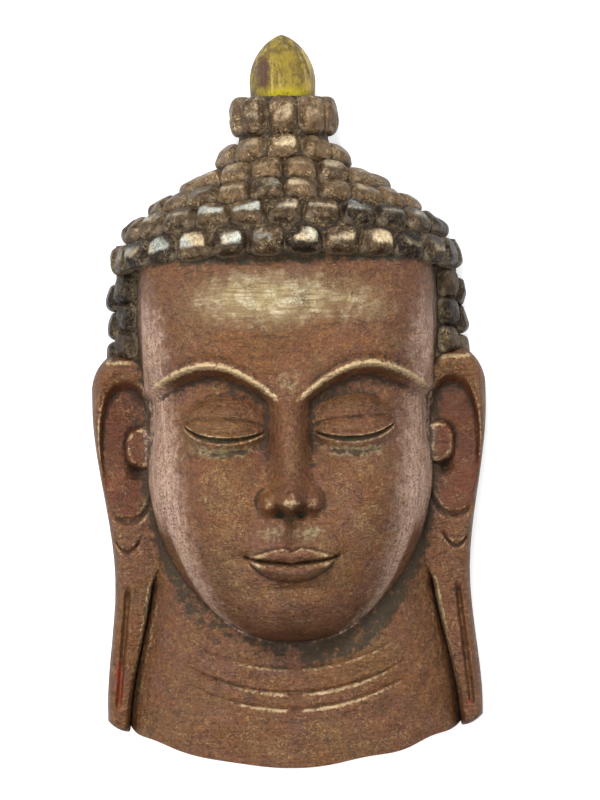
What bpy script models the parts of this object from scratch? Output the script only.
"""A carved wooden wall mask: a crowned head with long ear lobes, cut from one board and hollow behind.

It lies on its flat back, face up: the crown points along +Y and the back lies on Z = 0.
The whole mask is one carved piece, so it is one solid. Units are metres.
"""
import math
import random

import bmesh
import bpy
import numpy as np
from mathutils import Matrix, Vector

# Along Y, from the cut edge of the neck to the tip of the bud
NECK_LENGTH = 0.077
FACE_HEIGHT = 0.244
CROWN_HEIGHT = 0.075
COLLAR_HEIGHT = 0.024
BUD_HEIGHT = 0.040
LOBE_STEP = 0.0017
EDGE_WAVE = 0.0014
EAR_LENGTH = 0.242
LOBE_SLANT = 0.007
HAIR_DROP = 0.009

# Across X
FACE_WIDTH = 0.184
HAIR_WIDTH = 0.216
CROWN_WIDTH = 0.209
EAR_SPAN = 0.2486
LOBE_WIDTH = 0.0235
COLLAR_WIDTH = 0.056
BUD_WIDTH = 0.042

# Off the back, along Z
FACE_DEPTH = 0.084
JAW_DEPTH = 0.091
HAIR_DEPTH = 0.091
TEMPLE_DEPTH = 0.054
NECK_DEPTH = 0.062
EAR_DEPTH = 0.031
CROWN_AXIS = 0.019

# The curls of the hair
CURL_ROWS = 5
FRONT_CURL = 0.0235
TOP_CURL = 0.01955
TEMPLE_ROWS = 3
TEMPLE_COLUMNS = 2
TEMPLE_CURL = 0.0185
CURL_RISE = 0.0076
CURL_GAP = 0.0006
COLLAR_CURL = 0.0178

# The hollow in the back: the wood left in front, at the sides, and above the neck's edge
FRONT_WALL = 0.026
SIDE_WALL = 0.022
END_WALL = 0.035
HOLLOW_LENGTH = 0.300

# How far forms run on inside each other, and how far blanks reach below the back before it is cut flat
LAP = 0.025
SINK = 0.004
BELOW = 0.012
EDGE_ROUND = 0.006

# Lines across the mask, from the sizes above
HEIGHT = NECK_LENGTH + FACE_HEIGHT + CROWN_HEIGHT + COLLAR_HEIGHT + BUD_HEIGHT
EDGE_Y = -HEIGHT / 2
CHIN_Y = EDGE_Y + NECK_LENGTH
HAIRLINE_Y = CHIN_Y + FACE_HEIGHT
COLLAR_Y = HAIRLINE_Y + CROWN_HEIGHT
BUD_Y = COLLAR_Y + COLLAR_HEIGHT
THIRD = FACE_HEIGHT / 3
EAR_TOP_Y = CHIN_Y + 2.3 * THIRD
EAR_END_Y = EAR_TOP_Y - EAR_LENGTH
NECK_CORNER_Y = EAR_END_Y + LOBE_STEP
EAR_WIDTH = (EAR_SPAN - FACE_WIDTH) / 2


def ramp(value, start, end):
    """0 before start, 1 after end, and a smooth S between them."""
    t = np.clip((value - start) / (end - start), 0, 1)
    return t * t * (3 - 2 * t)


def bell(distance, width, power=2.0):
    """1 at no distance, falling to nothing over the width."""
    return np.exp(-(np.abs(distance / width) ** power))


def mound(a, b, at_a, at_b, wide, high, power=2.0):
    """A rounded swelling of height 1 at one place."""
    return bell(a - at_a, wide, power) * bell(b - at_b, high, power)


def smooth_max(first, second, blend):
    """The greater of two heights, with the corner between them filled."""
    h = np.clip(0.5 + 0.5 * (first - second) / blend, 0, 1)
    return second + (first - second) * h + blend * h * (1 - h)


def half_oval(turn, half_width, front, axis, power):
    """A point of a squarish half oval; turn goes from -90 degrees at one side, over the front, to 90."""
    across = np.sin(turn)
    x = half_width * np.sign(across) * np.abs(across) ** (2 / power)
    z = axis + (front - axis) * np.clip(np.cos(turn), 0, 1) ** (2 / power)
    return x, z


# The face. Places on it are a, a share of half its width, and b, counted in thirds of its height up from
# the chin, so the nose ends at 1, the brow is at 2 and the hair starts at 3. Heights are shares of its depth.


def brow(a, b):
    """An arched brow with a soft edge, and the eye socket cut back below it."""
    rise = np.sin(np.pi / 2 * np.clip((a - 0.07) / 0.47, 0, 1))
    fall = 1 - np.cos(np.pi / 2 * np.clip((a - 0.54) / 0.40, 0, 1))
    below = 1.86 + 0.265 * rise - 0.17 * fall - b
    inner = ramp(a, 0.06, 0.17)
    outer = 1 - ramp(a, 0.60, 0.97)
    socket = (0.062 + 0.081 * outer) * inner * ramp(below, -0.0125, 0.094) * (1 - ramp(below, 0.30, 0.78))
    edge = bell(below + 0.017, 0.030) * ramp(a, 0.04, 0.12) * (1 - ramp(a, 0.80, 0.98))
    groove = bell(below + 0.075, 0.020) * ramp(a, 0.10, 0.22) * (1 - ramp(a, 0.70, 0.90))
    return 0.026 * edge - 0.010 * groove + 0.034 * bell(below + 0.13, 0.15) * outer - socket


def eye(a, b):
    """A lowered eye: the ball, the upper lid and its crease, a narrow slit and the lower lid."""
    e = (a - 0.45) / 0.275
    inside = np.clip(1 - e * e, 0, 1)
    ball = np.clip(1 - (e / 1.25) ** 2 - ((b - 1.690) / 0.245) ** 2, 0, 1)
    ball = ball * ball * (3 - 2 * ball) * 0.55 + 0.45 * np.sqrt(ball) * ramp(ball, 0, 0.45)
    margin = 1.655 - 0.066 * inside + 0.022 * e + 0.010 * bell(e - 1.0, 0.30)
    slit_end = margin - 0.030 * inside**0.55
    reach = ramp(1.10 - np.abs(e), 0, 0.20)
    slit = ramp(margin + 0.002 - b, 0, 0.008) * (1 - ramp(slit_end - b, -0.006, 0.010))
    upper = ramp(b - margin + 0.002, 0, 0.010) * (1 - ramp(b - margin, 0.028, 0.052))
    crease = bell(b - margin - 0.040 - 0.105 * inside**0.8, 0.015)
    bag = bell(b - slit_end + 0.085, 0.034) * inside
    lids = 0.015 * upper + 0.013 * bell(b - slit_end + 0.020, 0.020)
    return 0.098 * ball + (lids - 0.034 * slit - 0.017 * crease - 0.014 * bag) * reach


def nose(a, b):
    """A straight ridge growing to a rounded tip, with wings and nostrils."""
    t = np.clip((1.95 - b) / 0.84, 0, 1)
    stop = 1 - ramp(1.0375 - b + 0.40 * a, -0.0375, 0.069)
    half = 0.074 + 0.034 * t**1.5
    ridge = (0.083 + 0.175 * t**1.25) * bell(a, half, 2.2) * ramp(2.08 - b, 0, 0.24) * stop
    flank = (0.030 + 0.045 * t) * bell(a, 0.150, 2.6)
    flank = flank * ramp(1.98 - b, 0, 0.3) * (1 - ramp(1.06 - b, -0.05, 0.06))
    tip = 0.085 * mound(a, b, 0, 1.118, 0.092, 0.120, 2.3) * stop
    wing = 0.138 * mound(a, b, 0.132, 1.095, 0.074, 0.098, 2.6)
    ring = np.hypot((a - 0.132) / 0.088, (b - 1.095) / 0.115)
    crease = 0.017 * bell(ring - 1.08, 0.15) * ramp(a, 0.150, 0.200) * ramp(b, 1.00, 1.07)
    nostril = 0.055 * mound(a, b, 0.080, 1.004, 0.036, 0.024)
    return smooth_max(ridge + tip, wing, 0.050) + flank * (1 - bell(a, half, 2.2)) - crease - nostril


def mouth(a, b):
    """Full closed lips with soft edges, a little lifted at the corners."""
    e = np.clip(a / 0.30, 0, 1.5)
    level = 0.639 + 0.042 * e**2.2
    line = level - 0.012 * bell(a, 0.050)
    top = level + 0.1225 * np.clip(1 - e**1.7, 0, 1) - 0.034 * bell(a, 0.036)
    foot = level - 0.1475 * np.clip(1 - e**2.3, 0, 1)
    up = np.clip((b - line) / np.maximum(top - line, 1e-4), 0, 1)
    down = np.clip((line - b) / np.maximum(line - foot, 1e-4), 0, 1)
    upper = 0.034 + 0.034 * np.sin(np.pi * (0.08 + 0.75 * up))
    upper = upper * ramp(top + 0.006 - b, 0, 0.014) * (b >= line)
    lower = 0.022 + 0.066 * np.sin(np.pi * (0.12 + 0.85 * down))
    lower = lower * ramp(b - foot + 0.01, 0, 0.026) * (b < line)
    parting = 0.050 * bell(b - line, 0.0125) * ramp(1.12 - e, 0, 0.15)
    corner = 0.033 * mound(a, b, 0.315, 0.682, 0.060, 0.058)
    return (upper + lower) * ramp(1.04 - e, 0, 0.35) - parting - corner


def cheeks_and_chin(a, b):
    """The muzzle with the groove over the lips, the chin, the cheeks and the fold beside the nose."""
    muzzle = 0.101 * mound(a, b, 0, 0.654, 0.40, 0.34, 2.4)
    groove = (0.019 * bell(a, 0.028) - 0.0105 * bell(a - 0.054, 0.0196)) * ramp(b, 0.742, 0.792)
    groove = groove * (1 - ramp(b, 0.95, 1.0))
    chin = 0.125 * mound(a, b, 0, 0.231, 0.25, 0.20, 2.4) - 0.040 * mound(a, b, 0, 0.423, 0.20, 0.052)
    cheek = 0.089 * mound(a, b, 0.54, 1.17, 0.34, 0.45) - 0.020 * mound(a, b, 0.86, 2.35, 0.14, 0.35)
    t = np.clip((1.125 - b) / 0.45, 0, 1)
    fold = 0.018 * bell(a - 0.245 - 0.136 * t, 0.052) * np.sin(np.pi * t) ** 0.7
    return muzzle - groove + chin + cheek - fold


def face_surface(u, v):
    """Half an egg with the features raised on it; u runs across and v up, both from -1 to 1.

    s is how far out the place lies, as a share of the half width, and room is what is left of the oval there.
    """
    middle = CHIN_Y + 1.79 * THIRD
    lower, upper = middle - CHIN_Y, HAIRLINE_Y + LAP - middle
    share = 0.62 * v + 0.38 * np.sin(np.pi / 2 * v)
    t = np.abs(share)
    y = middle + np.where(share < 0, lower, upper) * share
    width = np.where(share < 0, np.clip(1 - t**2.35, 0, 1) ** (1 / 2.35), np.clip(1 - t**6, 0, 1) ** (1 / 6))
    width = width * (1 + 0.035 * ramp(share, 0.05, 0.5))
    depth = np.clip(1 - t**6.3, 0, 1) ** (1 / 6.3)
    front = (FACE_DEPTH + (JAW_DEPTH - FACE_DEPTH) * ramp(middle - y, 0, 0.6 * lower)) * depth
    power = 3.0 + 0.9 * ramp(share, 0, 0.6) - 0.5 * np.where(share < 0, t * t, 0)
    s = np.sin(np.pi / 2 * (0.75 * u + 0.25 * u**3))
    room = np.clip(1 - np.abs(s) ** power, 0, 1)
    x, z = FACE_WIDTH / 2 * width * s, -SINK + (front + SINK) * room ** (1 / power)
    a, b = np.abs(x) / (FACE_WIDTH / 2), (y - CHIN_Y) / THIRD
    relief = brow(a, b) + eye(a, b) + nose(a, b) + mouth(a, b) + cheeks_and_chin(a, b)
    ahead, aside = np.sqrt(room), 0.55 * np.sign(s) * np.abs(s) ** (power / 2)
    relief = FACE_DEPTH * relief * ramp(ahead, 0.02, 0.35) * ramp(1 - t, 0, 0.07) / np.hypot(ahead, aside)
    return np.stack([x + relief * aside, y, z + relief * ahead], -1)


# The ears. Places on them are e, 0 beside the face and 1 at the widest point of the outer edge, and h, from
# 0 at the end of the lobe to 1 at the top. Heights are shares of the ear's depth.


def ear_outline(h):
    """How far out the ear reaches: full above, waisted in the middle, flared again at the lobe's end."""
    e = 0.62 + 0.38 * ramp(h, 0.395, 0.848) + 0.195 * ramp(0.395 - h, 0, 0.338)
    t = np.clip((h - 0.886) / 0.114, 0, 1)
    return FACE_WIDTH / 2 + EAR_WIDTH * (e - 0.805 * (1 - np.sqrt(1 - t * t)))


def lobe_edge(h):
    """How far out the inner edge of the hanging lobe lies."""
    low = np.clip((0.37 - h) / 0.37, 0, 1)
    return ear_outline(np.minimum(h, 0.37)) - LOBE_WIDTH * (1 - 0.435 * low)


def ear_relief(e, h):
    """The ear's hollow with its lower lip, the small knob before it, a second fold and the lobe's slit."""
    q = np.abs((e - 0.335) / 0.545) ** 2.4 + np.abs((h - 0.736) / 0.182) ** 2.4
    low = ramp(0.742 - h, 0, 0.16)
    hollow = 0.252 * (1 - 0.80 * low) * ramp(1 - q, -0.05, 0.50)
    lip = 0.097 * bell(q - 1.06, 0.17) * ramp(0.679 - h, 0, 0.093)
    rim = 0.052 * bell(q - 1.45, 0.35) * ramp(h, 0.573, 0.70)
    curl = 0.077 * bell(q - 1.95, 0.16) * ramp(h, 0.852, 0.92) * (1 - ramp(e, 0.433, 0.712))
    ring = (np.abs((e - 0.05) / 0.33) ** 2.3 + np.abs((h - 0.740) / 0.058) ** 2.3) ** (1 / 2.3)
    knob = 0.185 * ramp(1.04 - ring, 0, 0.30)
    hole = 0.21 * mound(e, h, 0.185, 0.678, 0.125, 0.018)
    second = 0.469 + 0.040 * ((e - 0.356) / 0.272) ** 2
    fold = 0.071 * bell(h - second, 0.0068) * (1 - ramp(np.abs(e - 0.356), 0.217, 0.294))
    along = ramp(0.383 - h, 0, 0.038) * (1 - ramp(0.078 - h, 0, 0.042))
    slit = 0.110 * bell(e - 0.353 - 0.248 * np.clip((0.376 - h) / 0.321, 0, 1), 0.059, 2.5) * along
    return rim - hollow - lip - curl + knob - hole - fold - slit


def ear_surface(u, v):
    """The ear on the right: a slab rounded at its outer edge, with its carving."""
    h = (1 + v) / 2
    outer = ear_outline(h)
    hidden = FACE_WIDTH / 2 - 0.62 * EAR_WIDTH
    inner = hidden + (lobe_edge(h) - hidden) * ramp(0.497 - h, 0, 0.135)
    first = np.sin(0.15 * np.pi)
    x = inner + (outer - inner) * (np.sin(np.pi / 2 * (0.65 + 0.35 * u)) - first) / (1 - first)
    side = np.clip((outer - x) / EDGE_ROUND, 0, 1)
    near = np.where(h < 0.44, np.clip((x - inner) / (EDGE_ROUND / 2), 0, 1), 1)
    foot = np.clip(EAR_LENGTH * h / (EDGE_ROUND / 2), 0, 1)
    rounded = np.sqrt((1 - (1 - side) ** 2) * (1 - (1 - near) ** 2) * (1 - (1 - foot) ** 2))
    body = np.where(side < 1e-6, 0.33, 0.60 + 0.35 * rounded + 0.05 * np.cos(np.pi / 2 * u))
    relief = ear_relief((x - FACE_WIDTH / 2) / EAR_WIDTH, h) * ramp(side, 0, 0.8) * ramp(foot, 0.2, 1)
    z = EAR_DEPTH * (body + relief) * (1 - 0.65 * ramp(h, 0.962, 1))
    slant = LOBE_SLANT * ((x - inner) / (outer - inner)) ** 2 * (1 - ramp(h, 0, 0.13))
    return np.stack([x, EAR_END_Y + EAR_LENGTH * h + slant, z], -1)


def neck_surface(u, v):
    """The neck, flaring to an uneven edge that arches up to the lobes' ends, with folds and a channel by each lobe."""
    turn = u * np.pi / 2
    across = np.abs(np.sin(turn)) ** (2 / 2.6)
    low = EDGE_Y + (NECK_CORNER_Y - EDGE_Y) * across**2
    low = low + EDGE_WAVE * np.sin(5.5 * turn) ** 2 * (1 + 0.5 * np.sin(3 * turn))
    y = low + (CHIN_Y + 0.875 * THIRD - low) * (1 + v) / 2
    h = (y - EAR_END_Y) / EAR_LENGTH
    down = np.clip((CHIN_Y + 0.44 * THIRD - y) / (NECK_LENGTH + 0.14 * THIRD), 0, 1)
    width = lobe_edge(np.clip(h, 0, 0.37)) + EDGE_ROUND * (0.8 - 0.7 * down)
    x, z = half_oval(turn, width, NECK_DEPTH * (0.87 + 0.15 * down), -SINK, 2.6)
    n, share = (y - EDGE_Y) / NECK_LENGTH, np.abs(x) / width
    folds = 0 * x
    for height, deep in ((0.805, 0.014), (0.61, 0.022), (0.48, 0.016)):
        line = height + 0.195 * (share / 0.625) ** 2
        folds = folds + 0.55 * deep * bell(n - line + 0.062, 0.047) - deep * bell(n - line, 0.018)
    z = z + NECK_DEPTH * folds * (1 - ramp(share, 0.56, 0.75)) * ramp(np.cos(turn), 0, 0.5)
    edge = lobe_edge(h) - 0.10 * LOBE_WIDTH * ramp(h, 0, 0.37)
    channel = 0.12 * NECK_DEPTH * ramp(np.abs(x) - edge, 0, EDGE_ROUND / 2) * ramp(h, 0.004, 0.066)
    z = np.where(channel > 0, np.maximum(z - channel, np.minimum(z, 0.19 * NECK_DEPTH)), z)
    return np.stack([x, y, z], -1)


# The hair. Its ground sweeps from the hairline to the collar, and the curls stand on it in rows.


def hair_profile(y):
    """Half the crown's width, how far its front lies off the back, and the height of its axis."""
    t = np.clip((y - HAIRLINE_Y) / CROWN_HEIGHT, 0, 1)
    sweep = t * t * (3 - 2 * t)
    width = COLLAR_WIDTH / 2 + (CROWN_WIDTH - COLLAR_WIDTH) / 2 * (1 - sweep)
    front = CROWN_AXIS + COLLAR_WIDTH / 2
    front = front + (HAIR_DEPTH - front) * (1 - sweep**1.25)
    rim = ramp(y, BUD_Y - 0.17 * COLLAR_HEIGHT, BUD_Y)
    return width * (1 - 0.10 * rim), front * (1 - 0.08 * rim), -SINK + (CROWN_AXIS + SINK) * sweep


def hair_ground(turn, y_front, temple):
    """A point of the ground; turns past 90 degrees run down the upright side towards the back."""
    over = np.abs(turn) - np.pi / 2
    turn = np.clip(turn, -np.pi / 2, np.pi / 2)
    hanging = (1 - temple) * (1 - ramp(y_front, COLLAR_Y - COLLAR_HEIGHT, COLLAR_Y + COLLAR_HEIGHT / 2))
    y = y_front - HAIR_DROP * hanging * np.sin(turn) ** 2
    width, front, axis = hair_profile(np.maximum(y, HAIRLINE_Y))
    width, front = np.where(temple, HAIR_WIDTH / 2, width), np.where(temple, TEMPLE_DEPTH, front)
    x, z = half_oval(turn, width, front, axis, 2.35)
    return np.stack([x, y, z - np.maximum(over, 0) * COLLAR_WIDTH], -1)


def crown_surface(u, v):
    """The ground of the hair from the forehead to the foot of the bud."""
    return hair_ground(u * np.pi / 2, HAIRLINE_Y + (BUD_Y - HAIRLINE_Y) * (1 + v) / 2, 0 * u)


def temple_surface(u, v):
    """The ground of the hair beside the temples, down to the tops of the ears."""
    low = EAR_TOP_Y - 0.14 * THIRD
    return hair_ground(u * np.pi / 2, low + (HAIRLINE_Y + 0.1 * THIRD - low) * (1 + v) / 2, 0 * u + 1)


def hair_frame(turn, y_front, temple):
    """Where a curl stands: its place, the ways along and up its row, and the way out of the ground."""
    step = 0.05 * THIRD
    place = Vector(hair_ground(turn, y_front, temple))
    along = Vector(hair_ground(turn + 0.02, y_front, temple) - hair_ground(turn - 0.02, y_front, temple))
    up = Vector(hair_ground(turn, y_front + step, temple) - hair_ground(turn, y_front - step, temple))
    along.normalize()
    out = along.cross(up).normalized()
    return place, along, out.cross(along), out


def curl_rows():
    """Each row's name, its middle in front, its curls' height and width, and 1 if it is at the temples."""
    y = np.linspace(HAIRLINE_Y, COLLAR_Y, 200)
    run = np.concatenate([[0], np.cumsum(np.hypot(np.diff(y), np.diff(hair_profile(y)[1])))])
    height = float(run[-1]) / CURL_ROWS
    widths = np.geomspace(FRONT_CURL, TOP_CURL, CURL_ROWS).tolist()
    rows = []
    for k, wide in enumerate(widths):
        middle = float(np.interp(height * (k + 0.5), run, y))
        rows.append((f"curls_{k + 1}", middle, height, wide, 0))
    rows.append(("curls_collar", COLLAR_Y + COLLAR_HEIGHT / 2, COLLAR_HEIGHT, COLLAR_CURL, 0))
    low = EAR_TOP_Y - 0.09 * THIRD
    height = (HAIRLINE_Y - 0.13 * THIRD - low) / TEMPLE_ROWS
    for k in range(TEMPLE_ROWS):
        rows.append((f"curls_temple_{k + 1}", low + height * (k + 0.5), height, TEMPLE_CURL, 1))
    return rows


def curl_places(y_front, wide, temple):
    """The turns at which a row's curls stand, evenly along the ground, and the width each may fill."""
    lowest = np.pi / 2
    if not temple:
        lowest = np.pi / 2 + max(float(hair_profile(y_front)[2]), 0) / COLLAR_WIDTH
    turns = np.linspace(-lowest, lowest, 400)
    points = hair_ground(turns, np.full(400, y_front), np.full(400, temple))
    run = np.concatenate([[0], np.cumsum(np.linalg.norm(np.diff(points, axis=0), axis=1))])
    if temple:
        starts = [wide * (k + 0.5) for k in range(TEMPLE_COLUMNS)]
        starts = starts + [run[-1] - start for start in starts]
        return [float(np.interp(start, run, turns)) for start in starts], wide
    count = max(3, round(run[-1] / wide))
    width = run[-1] / count
    return [float(np.interp((k + 0.5) * width, run, turns)) for k in range(count)], float(width)


def add_object(name, mesh, collection, material):
    """Link an object for this mesh into the collection, with the material in its one slot."""
    mesh.materials.clear()
    mesh.materials.append(material)
    made = bpy.data.objects.new(name, mesh)
    collection.objects.link(made)
    return made


def relief_blank(name, surface, columns, rows, collection, material):
    """A closed block: a grid moved onto the surface, with its border drawn down past the back and filled."""
    bm = bmesh.new()
    bmesh.ops.create_grid(bm, x_segments=columns, y_segments=rows, size=1.0)
    spots = np.array([vertex.co for vertex in bm.verts])
    for vertex, place in zip(bm.verts, surface(spots[:, 0], spots[:, 1])):
        vertex.co = place
    border = [edge for edge in bm.edges if edge.is_boundary]
    drawn = bmesh.ops.extrude_edge_only(bm, edges=border)["geom"]
    for vertex in drawn:
        if isinstance(vertex, bmesh.types.BMVert):
            vertex.co.z = -BELOW
    bmesh.ops.contextual_create(bm, geom=[edge for edge in bm.edges if edge.is_boundary])
    bmesh.ops.remove_doubles(bm, verts=bm.verts, dist=1e-6)
    bmesh.ops.recalc_face_normals(bm, faces=bm.faces)
    mesh = bpy.data.meshes.new(name)
    bm.to_mesh(mesh)
    bm.free()
    return add_object(name, mesh, collection, material)


def curl_row(name, y_front, height, wide, temple, collection, material):
    """One row of squarish curls, each a bevelled block sunk into the ground, none quite like the next."""
    chance = random.Random(name)
    bm = bmesh.new()
    turns, width = curl_places(y_front, wide, temple)
    for k, turn in enumerate(turns):
        drop = 0.3 * height if temple and k % TEMPLE_COLUMNS == 0 else 0
        place, along, up, out = hair_frame(turn, y_front - drop, temple)
        across = (width - CURL_GAP) * chance.uniform(0.93, 1.0)
        high = (height - CURL_GAP) * chance.uniform(0.95, 1.0)
        rise = CURL_RISE * chance.uniform(0.86, 1.08)
        axes = Matrix((along, up, out)).transposed().to_4x4()
        middle = place + out * (rise - SINK) / 2
        block = bmesh.ops.create_cube(bm, size=1.0)["verts"]
        bmesh.ops.scale(bm, vec=(across, high, rise + SINK), verts=block)
        edges = list({edge for vertex in block for edge in vertex.link_edges})
        rounded = bmesh.ops.bevel(bm, geom=edges, offset=0.55 * CURL_RISE, segments=1, affect="EDGES")
        whole = list({vertex for face in rounded["faces"] for vertex in face.verts})
        bmesh.ops.transform(bm, matrix=Matrix.Translation(middle) @ axes, verts=whole)
    mesh = bpy.data.meshes.new(name)
    bm.to_mesh(mesh)
    bm.free()
    return add_object(name, mesh, collection, material)


def bud_form(collection, material):
    """The bud on top: a profile from its tip down to the collar, turned about its axis."""
    foot = 0.25 * BUD_HEIGHT
    top = 0.75 * BUD_HEIGHT
    points = [(0.0, foot + top)]
    for k in range(1, 8):
        t = 1 - (k / 7) ** 1.3
        points.append((BUD_WIDTH / 2 * (1 - t * t) ** 0.68, foot + top * t))
    points.append((1.02 * BUD_WIDTH / 2, 0.0))
    points.append((0.9 * BUD_WIDTH / 2, -0.25 * COLLAR_HEIGHT))
    points.append((0.0, -0.25 * COLLAR_HEIGHT))
    mesh = bpy.data.meshes.new("bud")
    mesh.from_pydata([(r, 0, z) for r, z in points], [(k, k + 1) for k in range(len(points) - 1)], [])
    made = add_object("bud", mesh, collection, material)
    made.location = (0, BUD_Y, CROWN_AXIS)
    made.rotation_euler = (-math.pi / 2, 0, 0)
    turned = made.modifiers.new("turned", "SCREW")
    turned.steps = 16
    turned.render_steps = 16
    turned.use_merge_vertices = True
    turned.merge_threshold = 1e-5
    return made


def hollow_form(collection, material):
    """The cut that hollows the back: a squarish half oval, deepest behind the nose."""
    bottom = EDGE_Y + END_WALL
    bm = bmesh.new()
    bmesh.ops.create_uvsphere(bm, u_segments=20, v_segments=12, radius=1.0)
    for vertex in bm.verts:
        x, y, z = vertex.co
        size = (abs(x) ** 3 + abs(y) ** 3 + abs(z) ** 3) ** (-1 / 3)
        vertex.co.x = x * size * (FACE_WIDTH / 2 - SIDE_WALL)
        vertex.co.y = bottom + HOLLOW_LENGTH / 2 * (1 + y * size)
        vertex.co.z = z * size * (FACE_DEPTH - FRONT_WALL)
    mesh = bpy.data.meshes.new("hollow")
    bm.to_mesh(mesh)
    bm.free()
    return add_object("hollow", mesh, collection, material)


def flat_back_form(collection, material):
    """The cut that trims everything flush with the flat back."""
    bm = bmesh.new()
    bmesh.ops.create_cube(bm, size=1.0)
    bmesh.ops.scale(bm, vec=(2 * EAR_SPAN, 2 * HEIGHT, 4 * BELOW), verts=bm.verts)
    bmesh.ops.translate(bm, vec=(0, 0, -2 * BELOW), verts=bm.verts)
    mesh = bpy.data.meshes.new("flat_back")
    bm.to_mesh(mesh)
    bm.free()
    return add_object("flat_back", mesh, collection, material)


def thin_out(piece, ratio):
    """Leave only the share of triangles that the carving needs."""
    fewer = piece.modifiers.new("fewer_triangles", "DECIMATE")
    fewer.ratio = ratio


def combine(piece, name, operation, operand):
    """Join or cut the piece with an object or with everything in a collection."""
    step = piece.modifiers.new(name, "BOOLEAN")
    step.operation = operation
    step.solver = "EXACT"
    if isinstance(operand, bpy.types.Collection):
        step.operand_type = "COLLECTION"
        step.collection = operand
    else:
        step.object = operand


for old in list(bpy.data.objects):
    bpy.data.objects.remove(old, do_unlink=True)

mask_parts = bpy.data.collections.new("wooden mask")
joined_forms = bpy.data.collections.new("joined forms")
cutters = bpy.data.collections.new("cutters")
for group in (mask_parts, joined_forms, cutters):
    bpy.context.scene.collection.children.link(group)

painted_wood = bpy.data.materials.new("painted wood")
painted_wood.use_nodes = True
shader = painted_wood.node_tree.nodes["Principled BSDF"]
shader.inputs["Base Color"].default_value = (0.165, 0.072, 0.038, 1)
shader.inputs["Roughness"].default_value = 0.45
shader.inputs["Metallic"].default_value = 0.0

# The head carries everything; the neck, ears, hair and bud are joined to it
mask = relief_blank("mask", face_surface, 110, 150, mask_parts, painted_wood)
thin_out(mask, 0.074)

neck = relief_blank("neck", neck_surface, 48, 56, joined_forms, painted_wood)
thin_out(neck, 0.072)

ears = relief_blank("ears", ear_surface, 24, 80, joined_forms, painted_wood)
thin_out(ears, 0.115)
pair = ears.modifiers.new("pair", "MIRROR")
pair.merge_threshold = 1e-5

relief_blank("crown", crown_surface, 14, 8, joined_forms, painted_wood)
relief_blank("temples", temple_surface, 14, 1, joined_forms, painted_wood)
for name, y_front, height, wide, temple in curl_rows():
    curl_row(name, y_front, height, wide, temple, joined_forms, painted_wood)
bud_form(joined_forms, painted_wood)

hollow_form(cutters, painted_wood)
flat_back_form(cutters, painted_wood)

combine(mask, "joined", "UNION", joined_forms)
combine(mask, "hollowed", "DIFFERENCE", bpy.data.objects["hollow"])
combine(mask, "flat back", "DIFFERENCE", bpy.data.objects["flat_back"])

for group in (joined_forms, cutters):
    for form in group.objects:
        form.hide_render = True
        form.display_type = "WIRE"
